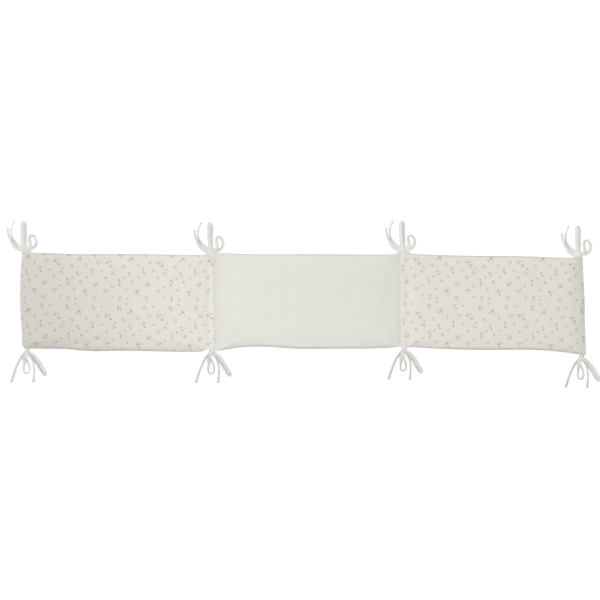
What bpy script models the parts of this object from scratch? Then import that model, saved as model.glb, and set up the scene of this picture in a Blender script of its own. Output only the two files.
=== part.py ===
"""Crib bumper: three filled panels in a row, folded at two sewn joins, with eight tape ties in bows.

It lies on its back. X runs along its length, Y across it, Z up out of its face, and the origin is
under the middle of the middle panel. Sizes below are in millimetres and MM turns them to metres.
"""

import math
from collections import namedtuple

import bmesh
import bpy
import numpy as np

MM = 0.001
GAP = 0.3  # between neighbouring pieces

# Heights of a panel above the surface it lies on.
SEAM_HEIGHT = 12.0  # the seam that runs round a panel's side
SEAM_THICKNESS = 2.6  # turned-in cloth at that seam, and the flat strips at the joins
RIM_HEIGHT = 27.0  # top of the rolled side
CROWN = 7.0  # how much higher the middle of a panel is
CROWN_ALONG = 4  # powers by which the crown falls towards the ends and towards the long sides
CROWN_ACROSS = 2
ROLL = 24.0  # how far in from the seam the side reaches its full height

# The two joins, and the flat strip that belongs to the printed panel beside each.
LEFT_JOIN = -296.5
RIGHT_JOIN = 300.0
LEFT_STRIP = 17.0
RIGHT_STRIP = 10.0

# Long sides of each panel, as the filled cloth pulls them: Y of both sides at a place along X.
Side = namedtuple("Side", "x bottom top")
LEFT_SIDES = [
    Side(-913, -149.5, 155.5),
    Side(-830, -151.0, 155.0),
    Side(-776, -152.0, 153.0),
    Side(-733, -156.5, 152.0),
    Side(-560, -157.5, 152.0),
    Side(-400, -160.5, 149.8),
    Side(-345, -159.5, 149.0),
    Side(-325, -157.0, 149.0),
    Side(-312, -151.5, 149.5),
    Side(-297, -150.5, 150.5),
]
MIDDLE_SIDES = [
    Side(-297, -157.0, 152.5),
    Side(-268, -154.0, 154.0),
    Side(-230, -147.5, 153.0),
    Side(-180, -144.5, 151.5),
    Side(-20, -151.5, 151.5),
    Side(110, -151.0, 151.0),
    Side(220, -149.8, 150.2),
    Side(262, -147.5, 150.0),
    Side(300, -143.5, 154.5),
]
RIGHT_SIDES = [
    Side(300, -144.5, 154.5),
    Side(335, -145.8, 152.0),
    Side(425, -151.5, 148.7),
    Side(570, -155.0, 146.0),
    Side(710, -154.5, 144.2),
    Side(806, -160.5, 140.2),
    Side(870, -168.5, 138.6),
    Side(888, -170.5, 138.0),
]

# Free ends of the outer panels: X of the end at a place across Y.
End = namedtuple("End", "y x")
LEFT_END = [
    End(-150, -906.0),
    End(-92, -907.5),
    End(-45, -911.5),
    End(5, -913.3),
    End(100, -911.0),
    End(156, -906.5),
]
RIGHT_END = [
    End(-171, 887.2),
    End(-120, 886.8),
    End(-70, 884.5),
    End(5, 884.0),
    End(80, 880.0),
    End(138, 877.4),
]

# Colours of the cloths, with a roughness for cotton.
PRINT_CLOTH = (0.72, 0.69, 0.62)
PLAIN_CLOTH = (0.75, 0.74, 0.69)
TAPE_CLOTH = (0.78, 0.78, 0.74)
COTTON_ROUGHNESS = 0.9

# Each panel: its outline, how wide its flat strips are, its corners' radii and its cloth.
Panel = namedtuple("Panel", "name sides left right left_strip right_strip corners cloth")
Corners = namedtuple("Corners", "bottom_left top_left bottom_right top_right")
PANELS = [
    Panel(
        name="panel_left",
        sides=LEFT_SIDES,
        left=LEFT_END,
        right=[End(0, LEFT_JOIN - GAP)],
        left_strip=0.0,
        right_strip=LEFT_STRIP,
        corners=Corners(15, 6, 2, 2),
        cloth=PRINT_CLOTH,
    ),
    Panel(
        name="panel_middle",
        sides=MIDDLE_SIDES,
        left=[End(0, LEFT_JOIN)],
        right=[End(0, RIGHT_JOIN)],
        left_strip=0.0,
        right_strip=0.0,
        corners=Corners(9, 5, 5, 5),
        cloth=PLAIN_CLOTH,
    ),
    Panel(
        name="panel_right",
        sides=RIGHT_SIDES,
        left=[End(0, RIGHT_JOIN + GAP)],
        right=RIGHT_END,
        left_strip=RIGHT_STRIP,
        right_strip=0.0,
        corners=Corners(2, 2, 6, 5),
        cloth=PRINT_CLOTH,
    ),
]
ROLL_STEPS = (0.0, 0.05, 0.2, 0.5, 1.0)  # mesh lines over a rolled side, as shares of ROLL
COLUMN_PITCH = 75.0  # of the mesh lines between the rolled sides
ROW_PITCH = 64.0

# Tape of the ties, and the knot of each bow.
TAPE_WIDTH = 10.0
TAPE_THICKNESS = 2.2
KNOT_RADII = (9.0, 5.2, 5.2)
KNOT_SEGMENTS = 10
KNOT_RINGS = 6
WRAP_RADIUS = 4.6  # of the turn of tape round the knot, to the middle of the tape
WRAP_GAIN = 0.7  # how much further out that turn ends than it starts
WRAP_TURNS = 1.12
WRAP_ROWS = 7
KNOT_STANDOFF = 7.0  # from the edge of the panel to the middle of the knot
EDGE_SAMPLES = 5  # places along that edge, over the knot's length, that are compared
ROOT_LENGTH = 6.5  # of the gathered tape between the middle of the knot and the seam
ROOT_WIDTH = 8.6
BEND_STEPS = 2  # straight pieces between two rows of a run
WELD = 0.01  # points of the tape as close as this become one

# A bow's runs of tape, each a smooth curve through its rows. x and y start at the knot, height at the
# surface below. turn is 0 where the tape stands on its edge and FLAT where it lies flat.
Run = namedtuple("Run", "x y height turn")
FLAT = 90
TOP_BOW = {
    "outer_tail": [
        Run(-2, 1, 12, 60), Run(-18, 4, 10, 45), Run(-31, 11, 7.5, 32), Run(-41, 24, 5.8, 25),
        Run(-48, 40, 5.3, 25), Run(-52.5, 54, 5.3, 25), Run(-53.7, 71, 5.3, 45),
    ],
    "inner_tail": [
        Run(-1, 3, 13, 80), Run(-16, 12, 10, 82), Run(-30, 25, 7, 75), Run(-39, 39, 5.6, 35),
        Run(-42, 53, 5.3, 20), Run(-42, 67, 5.3, 20), Run(-38.5, 80, 5.3, 20), Run(-32, 93.5, 5.3, 35),
    ],
    "big_loop": [
        Run(-4, 3, 13, FLAT), Run(-5.5, 30, 5, FLAT), Run(-8, 60, 2.2, FLAT), Run(-8.2, 84, 2.3, 88),
        Run(-6.4, 91.5, 3.8, 64), Run(-2.5, 94, 6.8, 39), Run(1.4, 91.5, 10, 14), Run(3.4, 84, 11.2, -8),
        Run(5.8, 64, 10.5, -12), Run(5.5, 42, 9, -12), Run(3, 18, 11, -12), Run(1.5, 3, 14, -12),
    ],
    "small_loop": [
        Run(4, 1, 12, 50), Run(18, 4, 10, 40), Run(29, 8.5, 6.5, 30), Run(35.8, 17, 5.4, 25),
        Run(37.8, 28, 5.3, 25), Run(34.5, 40, 5.3, 25), Run(26, 48.5, 5.3, 25), Run(17, 45, 5.3, 28),
        Run(15, 35, 5.6, 40), Run(18, 24, 7, 45), Run(18.5, 14, 11, 50), Run(4, 3, 15, 60),
    ],
}
BOTTOM_BOW = {
    "outer_tail": [
        Run(-3, -2, 12, 60), Run(-11, -9, 10, 45), Run(-20, -20, 7, 35), Run(-29, -36, 5.6, 25),
        Run(-36.8, -53, 5.3, 25), Run(-42.8, -70, 5.3, 25), Run(-48.8, -89, 5.3, 25),
        Run(-53, -102, 5.3, 45),
    ],
    "small_loop": [
        Run(-3, -3, 12, 70), Run(-8.5, -15, 9, 75), Run(-10.5, -29, 6.5, 75), Run(-10.8, -44, 5.6, 45),
        Run(-13, -58, 5.3, 25), Run(-9.5, -70, 5.3, 20), Run(-2, -73, 5.3, 20), Run(6, -66, 5.3, 20),
        Run(7, -54, 5.3, 22), Run(2.5, -38, 8, 30), Run(-5.5, -22, 14, 55), Run(-2, -4, 15, 70),
    ],
    "inner_tail": [
        Run(2, -3, 12, 60), Run(9.5, -14, 9, 45), Run(16, -28, 6.5, 30), Run(20.5, -45, 5.4, 25),
        Run(22, -64, 5.3, 25), Run(21, -81, 5.3, 25), Run(19.5, -103, 5.3, 45),
    ],
    "big_loop": [
        Run(5, -2, 13, 88), Run(18, -13, 8, FLAT), Run(30, -30, 3.6, FLAT), Run(41.5, -48, 2.2, FLAT),
        Run(52, -65, 2.2, FLAT), Run(56.5, -74, 4.4, FLAT), Run(56.5, -77, 7.6, FLAT),
        Run(53, -74, 10.8, FLAT), Run(45, -62, 10.6, FLAT), Run(35, -46, 9, FLAT), Run(24, -29, 10, FLAT),
        Run(13, -14, 13, FLAT), Run(4, -4, 15, 88),
    ],
}

# Each row of bows: the long side it is sewn to, which way it points, and where its ties are along X.
Row = namedtuple("Row", "side outward runs places")
BOW_ROWS = [
    Row("top", 1, TOP_BOW, [-898.0, -304.0, 306.5, 866.0]),
    Row("bottom", -1, BOTTOM_BOW, [-889.0, -302.0, 309.0, 873.0]),
]


def smooth(table, column, at):
    """A column of a table as a smooth curve through its rows, read at the places given."""
    rows = np.array([(row[0], getattr(row, column)) for row in table], float)
    places, values = rows.T
    if len(rows) == 1:
        return np.full_like(at, values[0])
    slopes = np.gradient(values, places)
    step = np.clip(np.searchsorted(places, at) - 1, 0, len(rows) - 2)
    width = places[step + 1] - places[step]
    t = np.clip((at - places[step]) / width, 0.0, 1.0)
    rise = values[step + 1] - values[step]
    bend = t * (1 - t) * ((1 - t) * (slopes[step] * width - rise) - t * (slopes[step + 1] * width - rise))
    return values[step] + rise * t + bend


def mesh_lines(length, start_strip, end_strip, pitch):
    """Places of a panel's mesh lines, from 0 to its length: close together over both rolled sides."""
    steps = np.array(ROLL_STEPS) * ROLL
    start = start_strip + steps
    end = length - end_strip - steps[::-1]
    count = round((end[0] - start[-1]) / pitch)
    between = np.linspace(start[-1], end[0], count + 1)[1:-1]
    return np.unique(np.concatenate([[0.0], start, between, end, [length]]))


def corner_inset(distance, radius):
    """How far a round corner draws the outline in, at a distance along the end from the long side."""
    short = radius - np.clip(distance, 0, radius)
    return radius - np.sqrt(radius**2 - short**2)


def fullness(distance):
    """0 at the seam and 1 from ROLL inwards, rising as a quarter of an ellipse."""
    short = 1 - np.clip(distance / ROLL, 0, 1)
    return np.sqrt(1 - short**2)


def unit_slab(columns, rows):
    """A closed slab from 0 to 1 each way, its two faces cut into columns and rows."""
    bm = bmesh.new()
    bmesh.ops.create_grid(bm, x_segments=columns, y_segments=rows, size=0.5)
    raised = bmesh.ops.extrude_face_region(bm, geom=bm.faces[:], use_keep_orig=True)["geom"]
    upper = [part for part in raised if isinstance(part, bmesh.types.BMVert)]
    bmesh.ops.translate(bm, vec=(0, 0, 1), verts=upper)
    bmesh.ops.translate(bm, vec=(0.5, 0.5, 0), verts=bm.verts[:])
    bmesh.ops.recalc_face_normals(bm, faces=bm.faces[:])
    return bm


def panel_points(panel, slab, columns, rows):
    """Places of a slab's points on the filled panel: outline first, then the heights of both faces."""
    start = panel.left[len(panel.left) // 2].x
    end = panel.right[len(panel.right) // 2].x
    along = np.interp(slab[:, 0], np.linspace(0, 1, len(columns)), columns / columns[-1])
    across = np.interp(slab[:, 1], np.linspace(0, 1, len(rows)), rows / rows[-1])
    rough_x = start + along * (end - start)
    bottom = smooth(panel.sides, "bottom", rough_x)
    top = smooth(panel.sides, "top", rough_x)
    y = bottom + across * (top - bottom)
    below, above = y - bottom, top - y
    corners = panel.corners
    left = smooth(panel.left, "x", y)
    left += corner_inset(below, corners.bottom_left) + corner_inset(above, corners.top_left)
    right = smooth(panel.right, "x", y)
    right -= corner_inset(below, corners.bottom_right) + corner_inset(above, corners.top_right)
    x = left + along * (right - left)
    fill = fullness(x - left - panel.left_strip) * fullness(right - panel.right_strip - x)
    fill *= fullness(below) * fullness(above)
    crown = CROWN * (1 - (2 * along - 1) ** CROWN_ALONG) * (1 - (2 * across - 1) ** CROWN_ACROSS)
    face = SEAM_HEIGHT + SEAM_THICKNESS / 2
    back = SEAM_HEIGHT - SEAM_THICKNESS / 2
    on_face = slab[:, 2] > 0.5
    z = np.where(on_face, face + (RIM_HEIGHT - face) * fill + crown, back * (1 - fill))
    return np.stack([x, y, z], axis=1)


def fabric(name, colour):
    """A plain cotton material."""
    material = bpy.data.materials.new(name)
    material.use_nodes = True
    shader = material.node_tree.nodes["Principled BSDF"]
    shader.inputs["Base Color"].default_value = (*colour, 1)
    shader.inputs["Roughness"].default_value = COTTON_ROUGHNESS
    shader.inputs["Metallic"].default_value = 0.0
    return material


def place(name, mesh, collection):
    """An object for a mesh, in a collection, shaded smooth."""
    mesh.shade_smooth()
    obj = bpy.data.objects.new(name, mesh)
    collection.objects.link(obj)
    return obj


def make_panel(panel, collection):
    """One filled panel: a slab cut into columns and rows, shaped by panel_points."""
    height = panel.sides[0].top - panel.sides[0].bottom
    length = panel.right[0].x - panel.left[0].x
    columns = mesh_lines(length, panel.left_strip, panel.right_strip, COLUMN_PITCH)
    rows = mesh_lines(height, 0.0, 0.0, ROW_PITCH)
    bm = unit_slab(len(columns) - 1, len(rows) - 1)
    slab = np.array([vert.co for vert in bm.verts])
    for vert, point in zip(bm.verts, panel_points(panel, slab, columns, rows)):
        vert.co = point * MM
    mesh = bpy.data.meshes.new(panel.name)
    bm.to_mesh(mesh)
    bm.free()
    mesh.materials.append(fabric(panel.name + "_cloth", panel.cloth))
    return place(panel.name, mesh, collection)


def tape_mesh(name, runs):
    """All the runs of a bow as one mesh of tape, its parts not joined yet."""
    curve = bpy.data.curves.new(name, "CURVE")
    curve.dimensions = "3D"
    curve.twist_mode = "MINIMUM"
    curve.bevel_resolution = 0
    curve.bevel_depth = TAPE_THICKNESS / 2 * MM
    curve.extrude = (TAPE_WIDTH - TAPE_THICKNESS) / 2 * MM
    curve.use_fill_caps = True
    curve.resolution_u = BEND_STEPS
    for rows in runs.values():
        spline = curve.splines.new("BEZIER")
        spline.bezier_points.add(len(rows) - 1)
        for point, row in zip(spline.bezier_points, rows):
            point.co = (row.x * MM, row.y * MM, row.height * MM)
            point.handle_left_type = point.handle_right_type = "AUTO"
            point.tilt = math.radians(row.turn)
    obj = bpy.data.objects.new(name, curve)
    bpy.context.scene.collection.objects.link(obj)
    graph = bpy.context.evaluated_depsgraph_get()
    mesh = bpy.data.meshes.new_from_object(obj.evaluated_get(graph))
    bpy.data.objects.remove(obj)
    bm = bmesh.new()
    bm.from_mesh(mesh)
    bmesh.ops.remove_doubles(bm, verts=bm.verts[:], dist=WELD * MM)
    bm.to_mesh(mesh)
    bm.free()
    return mesh


def wrap_rows():
    """Rows of the turn of tape round a knot: a short coil about the X axis that starts on top."""
    share = np.linspace(0, 1, WRAP_ROWS)
    angle = 2 * math.pi * WRAP_TURNS * share
    radius = WRAP_RADIUS + WRAP_GAIN * share
    return [Run(0, *row, FLAT) for row in zip(radius * np.sin(angle), SEAM_HEIGHT + radius * np.cos(angle))]


def knot_mesh(name, outward):
    """The knot of a bow: a soft ball, and the end of the tape that runs from it into the seam."""
    bm = bmesh.new()
    ball = bmesh.ops.create_uvsphere(bm, u_segments=KNOT_SEGMENTS, v_segments=KNOT_RINGS, radius=1)["verts"]
    bmesh.ops.scale(bm, vec=KNOT_RADII, verts=ball)
    root = bmesh.ops.create_cube(bm, size=1)["verts"]
    bmesh.ops.scale(bm, vec=(ROOT_WIDTH, ROOT_LENGTH, TAPE_THICKNESS), verts=root)
    bmesh.ops.translate(bm, vec=(0, -outward * ROOT_LENGTH / 2, 0), verts=root)
    bmesh.ops.translate(bm, vec=(0, 0, SEAM_HEIGHT), verts=bm.verts[:])
    bmesh.ops.scale(bm, vec=(MM, MM, MM), verts=bm.verts[:])
    bmesh.ops.recalc_face_normals(bm, faces=bm.faces[:])
    mesh = bpy.data.meshes.new(name)
    bm.to_mesh(mesh)
    bm.free()
    return mesh


def bow_mesh(name, runs, outward, cloth):
    """One bow as one solid: its runs of tape joined to its knot by a Boolean union."""
    workspace = bpy.context.scene.collection
    tape = place(name + "_tape", tape_mesh(name + "_tape", runs | {"wrap": wrap_rows()}), workspace)
    knot = place(name + "_knot", knot_mesh(name + "_knot", outward), workspace)
    join = tape.modifiers.new("join", "BOOLEAN")
    join.operation = "UNION"
    join.solver = "EXACT"
    join.use_self = True
    join.object = knot
    graph = bpy.context.evaluated_depsgraph_get()
    mesh = bpy.data.meshes.new_from_object(tape.evaluated_get(graph))
    mesh.name = name
    mesh.materials.append(cloth)
    for used in (tape, knot):
        bpy.data.objects.remove(used)
    return mesh


def edge_beside(x, column, outward):
    """Y of the long side beside a knot, where it stands out furthest within the knot's length."""
    panel = next(panel for panel in PANELS if x < panel.right[0].x)
    beside = x + KNOT_RADII[0] * np.linspace(-1, 1, EDGE_SAMPLES)
    return outward * float(np.max(outward * smooth(panel.sides, column, beside)))


for old in list(bpy.data.objects):
    bpy.data.objects.remove(old)
bumper = bpy.data.collections.new("crib_bumper")
bpy.context.scene.collection.children.link(bumper)

for panel in PANELS:
    make_panel(panel, bumper)

tape_cloth = fabric("tie_tape", TAPE_CLOTH)
for row in BOW_ROWS:
    bow = bow_mesh("bow_" + row.side, row.runs, row.outward, tape_cloth)
    for number, x in enumerate(row.places, 1):
        knot_y = edge_beside(x, row.side, row.outward) + row.outward * KNOT_STANDOFF
        tie = place(f"tie_{row.side}_{number}", bow, bumper)
        tie.location = (x * MM, knot_y * MM, 0)
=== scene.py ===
import math
from collections import namedtuple

import bpy
import numpy as np
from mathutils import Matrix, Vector


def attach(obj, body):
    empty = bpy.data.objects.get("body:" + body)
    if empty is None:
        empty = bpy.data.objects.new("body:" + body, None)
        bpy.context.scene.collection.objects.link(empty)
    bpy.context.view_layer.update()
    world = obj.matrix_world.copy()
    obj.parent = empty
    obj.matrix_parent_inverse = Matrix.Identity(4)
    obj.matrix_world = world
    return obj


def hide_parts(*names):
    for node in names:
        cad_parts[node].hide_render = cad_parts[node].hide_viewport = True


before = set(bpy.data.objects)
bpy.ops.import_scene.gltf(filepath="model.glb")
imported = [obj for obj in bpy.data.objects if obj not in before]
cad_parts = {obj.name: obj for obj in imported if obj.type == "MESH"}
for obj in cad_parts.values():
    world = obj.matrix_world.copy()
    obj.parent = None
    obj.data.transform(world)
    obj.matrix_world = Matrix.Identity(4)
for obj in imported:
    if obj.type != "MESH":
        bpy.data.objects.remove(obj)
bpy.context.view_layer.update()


# ---- The table, the lamps and the camera ---------------------------------------------------------
# The bumper lies on its back on a pale table that shines a little, as a light table does, so that
# hardly a shadow shows round it; that shine doesn't light the cloth. Four long soft lamps hang above
# it, low ones stand past its ends and its sides, and the camera looks straight down from afar.

# Sizes are in millimetres, as on a maker's pattern, and MM turns them to metres. X runs along the
# bumper, Y across it and Z up out of its face, from a point under the middle of the middle panel.
MM = 0.001
SEAM_HEIGHT = 12.0  # of the seam round each panel, where its outline is
PICTURE_WIDTH = 1908.0  # of what the camera sees at the seam's height
PICTURE_MIDDLE = (-22.3, 5.2)
LENS = 200.0
SENSOR = 36.0
TABLE_SIDE = 60000.0
TABLE_DROP = 0.3  # how far its top is below the cloth
TABLE_WHITE = (0.45, 0.45, 0.45, 1)
TABLE_GLOW = 0.78
SKY_WHITE = (1.0, 0.998, 0.99, 1)
SKY_STRENGTH = 0.284
# Lamps that overlap seen from the table hang at different heights, since light is lost where two of
# them share a plane.
Lamp = namedtuple("Lamp", "name place aim width height power")
LAMPS = [
    Lamp("left_lamp", (-480, 20, 900), (-470, 0, 0), 500, 2200, 3.68),
    Lamp("middle_lamp", (-260, 20, 906), (-260, 0, 0), 400, 2200, 3.2),
    Lamp("right_lamp", (556, 20, 1100), (556, 0, 0), 1000, 2200, 2.1),
    Lamp("far_lamp", (850, 20, 1106), (850, 0, 0), 600, 2200, 6.8),
    Lamp("left_fill", (-2300, 150, 520), (-880, 0, 20), 900, 700, 11.2),
    Lamp("right_fill", (2300, 150, 520), (880, 0, 20), 900, 700, 3.8),
    Lamp("upper_fill", (-20, 1500, 130), (-20, 150, 15), 2400, 160, 6.8),
    Lamp("lower_fill", (60, -1500, 130), (60, -150, 15), 2400, 160, 2.6),
]


def node(tree, kind, sockets=None, **settings):
    """One shader node. Settings are its own properties; sockets are its inputs by name or number,
    each given as a value or as the output of another node."""
    made = tree.nodes.new("ShaderNode" + kind)
    for key, value in settings.items():
        setattr(made, key, value)
    for key, value in (sockets or {}).items():
        if isinstance(value, bpy.types.NodeSocket):
            tree.links.new(value, made.inputs[key])
        else:
            made.inputs[key].default_value = value
    return made


def new_material(name):
    """A material with a Principled shader and nothing else, and that shader."""
    material = bpy.data.materials.new(name)
    material.use_nodes = True
    return material, material.node_tree.nodes["Principled BSDF"]


def link(obj):
    """Puts an object into the scene."""
    bpy.context.scene.collection.objects.link(obj)
    return obj


def lay_table():
    """A square table top, TABLE_SIDE long and wide."""
    corners = np.array([(-1, -1), (1, -1), (1, 1), (-1, 1)]) * TABLE_SIDE / 2
    mesh = bpy.data.meshes.new("table")
    mesh.from_pydata(np.insert(corners, 2, -TABLE_DROP, axis=1) * MM, [], [(0, 1, 2, 3)])
    material, shader = new_material("table_top")
    shader.inputs["Base Color"].default_value = TABLE_WHITE
    shader.inputs["Roughness"].default_value = 1.0
    shader.inputs["Specular IOR Level"].default_value = 0.0
    shader.inputs["Emission Color"].default_value = (1, 1, 1, 1)
    shader.inputs["Emission Strength"].default_value = TABLE_GLOW
    mesh.materials.append(material)
    table = link(bpy.data.objects.new("table", mesh))
    table.visible_diffuse = False


def hang_lamp(lamp):
    """A soft rectangular lamp at its place, turned to its aim."""
    light = bpy.data.lights.new(lamp.name, "AREA")
    light.shape = "RECTANGLE"
    light.size = lamp.width * MM
    light.size_y = lamp.height * MM
    light.energy = lamp.power
    obj = link(bpy.data.objects.new(lamp.name, light))
    obj.location = Vector(lamp.place) * MM
    obj.rotation_euler = (Vector(lamp.aim) - Vector(lamp.place)).to_track_quat("-Z", "Y").to_euler()


scene = bpy.context.scene
scene.view_settings.view_transform = "Standard"
scene.world = bpy.data.worlds.new("studio")
scene.world.use_nodes = True
sky = scene.world.node_tree.nodes["Background"]
sky.inputs["Color"].default_value = SKY_WHITE
sky.inputs["Strength"].default_value = SKY_STRENGTH
lay_table()
for lamp in LAMPS:
    hang_lamp(lamp)
camera = bpy.data.cameras.new("camera")
camera.lens = LENS
camera.sensor_width = SENSOR
scene.camera = link(bpy.data.objects.new("camera", camera))
scene.camera.location = Vector((*PICTURE_MIDDLE, SEAM_HEIGHT + PICTURE_WIDTH * LENS / SENSOR)) * MM


# ---- The three filled panels ---------------------------------------------------------------------
# Each panel is two sheets of cotton sewn together round a layer of wadding. The printed ones end
# in a flat strip of the same cloth at the join, which is where the bumper folds. The filling swells
# the sheets, which pucker at the seam and the corners and are flat where the panel lies.
SEAM_HALF = 1.3  # half the thickness of the turned-in cloth at the seam and of the strips
SEAM_ROUND = 1.5  # how far in from the edge that thickness is reached
RIM_HEIGHT = 27.0
CROWN = 5.0
CROWN_ALONG = 6  # powers by which the crown falls towards the ends and towards the long sides
CROWN_ACROSS = 6
TUCK = 2.75  # how far the end of a strip dips to pass under its neighbour's seam
TUCK_REACH = 2.4  # how far under it goes
TUCK_RAMP = 2.6
FLARE_REACH = 13.0  # how far up from the lower edge a strip is wider
LEFT_JOIN = -296.5
RIGHT_JOIN = 298.0
COLUMNS = 132
ROWS = 68
CROWDING = 0.72  # how much closer than average the mesh lines stand at a panel's edge

# Y of both long sides at a place along X, as the filling and the ties pull them.
Side = namedtuple("Side", "x bottom top")
LEFT_SIDES = [
    Side(-913, -149.5, 156.1), Side(-830, -151.0, 155.6), Side(-776, -152.0, 153.6),
    Side(-733, -156.5, 152.6), Side(-560, -157.5, 152.6), Side(-400, -160.5, 150.4),
    Side(-345, -159.5, 149.6), Side(-325, -157.0, 149.6), Side(-312, -151.5, 150.1),
    Side(-297, -150.5, 151.1),
]
MIDDLE_SIDES = [
    Side(-297, -157.0, 153.2), Side(-268, -154.0, 154.7), Side(-230, -147.5, 153.7),
    Side(-180, -144.5, 152.2), Side(-20, -151.5, 152.2), Side(110, -151.0, 151.7),
    Side(220, -149.8, 150.9), Side(262, -147.5, 150.7), Side(300, -143.5, 155.2),
]
RIGHT_SIDES = [
    Side(300, -144.5, 155.4), Side(335, -145.8, 152.9), Side(425, -151.5, 149.6),
    Side(570, -155.0, 146.9), Side(710, -154.5, 145.1), Side(806, -160.5, 141.1),
    Side(870, -168.5, 139.5), Side(888, -170.5, 138.9),
]
# X of a free end at a place across Y.
End = namedtuple("End", "y x")
LEFT_END = [
    End(-150, -906.0), End(-92, -907.5), End(-45, -911.5), End(5, -913.3), End(100, -911.0),
    End(156, -906.5),
]
RIGHT_END = [
    End(-171, 887.2), End(-120, 886.8), End(-70, 884.5), End(5, 884.0), End(80, 880.0), End(138, 877.4),
]
Corners = namedtuple("Corners", "bottom_left top_left bottom_right top_right")
# How far in from each seam or strip the padding reaches its full height, and how steeply it starts:
# a power of 0.5 is a quarter ellipse, upright at the seam, and a power of 1 a parabola.
Roll = namedtuple("Roll", "reach power")
Rolls = namedtuple("Rolls", "left right bottom top")
# The flat margins are the strips of the printed panels, which widen by the flare at the lower edge,
# and the narrow sewn-down edges of the middle one. A tucked end passes under its neighbour's seam.
Margins = namedtuple("Margins", "left right")
Panel = namedtuple("Panel", "name node slot sides left right margins flare tucked rolls corners")
PANELS = [
    Panel(
        "left_pad", "panel_left", "print_cotton", LEFT_SIDES, left=LEFT_END,
        right=[End(0, LEFT_JOIN + TUCK_REACH)], margins=Margins(0.0, 17.0 + TUCK_REACH), flare=13.0,
        tucked="right", corners=Corners(15, 6, 2, 2),
        rolls=Rolls(Roll(26, 0.8), Roll(20, 0.9), Roll(17, 0.5), Roll(4, 0.5)),
    ),
    Panel(
        "middle_pad", "panel_middle", "plain_cotton", MIDDLE_SIDES, left=[End(0, LEFT_JOIN)],
        right=[End(0, RIGHT_JOIN)], margins=Margins(3.0, 3.6), flare=0.0,
        tucked="", corners=Corners(9, 5, 5, 5),
        rolls=Rolls(Roll(44, 1.2), Roll(36, 0.65), Roll(11, 0.5), Roll(2.5, 0.5)),
    ),
    Panel(
        "right_pad", "panel_right", "print_cotton", RIGHT_SIDES, left=[End(0, RIGHT_JOIN - TUCK_REACH)],
        right=RIGHT_END, margins=Margins(10.0 + TUCK_REACH, 0.0), flare=5.0,
        tucked="left", corners=Corners(2, 2, 6, 5),
        rolls=Rolls(Roll(18, 0.9), Roll(24, 0.8), Roll(9, 0.5), Roll(3.5, 0.5)),
    ),
]

# The filling, as pressure inside the sheets, and how far it may push them out.
SWELL_ROOM = 2.0  # how far the face starts below RIM_HEIGHT
SWELL_LIMIT = 3.2
PRESSURE = 1.8
SPARE_CLOTH = -0.008  # share by which the cloth is cut larger than its shape
STIFFNESS = 15.0
SHEAR = 5.0
BENDING = 1.2
CLOTH_MASS = 0.3
LEAST_MOVE = 1e-6  # share of SWELL_LIMIT, so that nothing is divided by 0
LAST_FRAME = 20

# Creases in the face, soft troughs at a place, turned from X.
Crease = namedtuple("Crease", "x y turn length width depth")
CREASES = [
    Crease(-758, -143, 14, 34, 5.0, 2.2), Crease(-742, -136, 24, 22, 4.0, 1.0),
    Crease(-283, -132, 62, 24, 4.5, 2.4), Crease(-266, -140, 38, 22, 4.0, 1.8),
    Crease(-290, 135, -70, 20, 4.0, 1.5), Crease(-332, -138, 118, 20, 4.5, 2.0),
    Crease(284, -128, 112, 24, 4.0, 1.6), Crease(286, 137, 76, 20, 4.0, 1.6),
    Crease(322, -127, 58, 20, 4.0, 1.6), Crease(320, 136, -62, 20, 4.0, 1.4),
    Crease(-888, -126, 82, 18, 4.5, 1.6), Crease(-890, 136, -78, 18, 4.0, 1.3),
    Crease(862, -142, 104, 20, 4.5, 1.8), Crease(858, 120, 70, 18, 4.0, 1.3),
]


def through(rows, column, at):
    """A smooth curve through one column of a list of rows: between two of them a cubic whose slopes
    come from the neighbouring rows. A single row holds everywhere."""
    if len(rows) == 1:
        return np.full_like(at, getattr(rows[0], column))
    places, values = np.array([(row[0], getattr(row, column)) for row in rows], float).T
    slopes = np.gradient(values, places)
    step = np.clip(np.searchsorted(places, at) - 1, 0, len(rows) - 2)
    width = places[step + 1] - places[step]
    t = np.clip((at - places[step]) / width, 0.0, 1.0)
    rise = values[step + 1] - values[step]
    first, last = slopes[step] * width - rise, slopes[step + 1] * width - rise
    return values[step] + rise * t + t * (1 - t) * ((1 - t) * first - t * last)


def crowded(count):
    """Shares from 0 to 1 that stand closer at both ends: t less CROWDING sin(2 pi t) / 2 pi."""
    t = np.linspace(0, 1, count)
    return t - CROWDING * np.sin(2 * np.pi * t) / (2 * np.pi)


def quarter(distance, reach):
    """A quarter of an ellipse: 0 at distance 0, and 1 from reach inwards."""
    return np.sqrt(1 - (1 - np.clip(distance / reach, 0, 1)) ** 2)


def ramp(share):
    """A smooth step from 0 to 1: 3 s squared less 2 s cubed."""
    share = np.clip(share, 0, 1)
    return share * share * (3 - 2 * share)


def corner_inset(distance, radius):
    """How far a round corner draws an end in, at a distance from the long side."""
    return radius * (1 - quarter(distance, radius))


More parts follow.
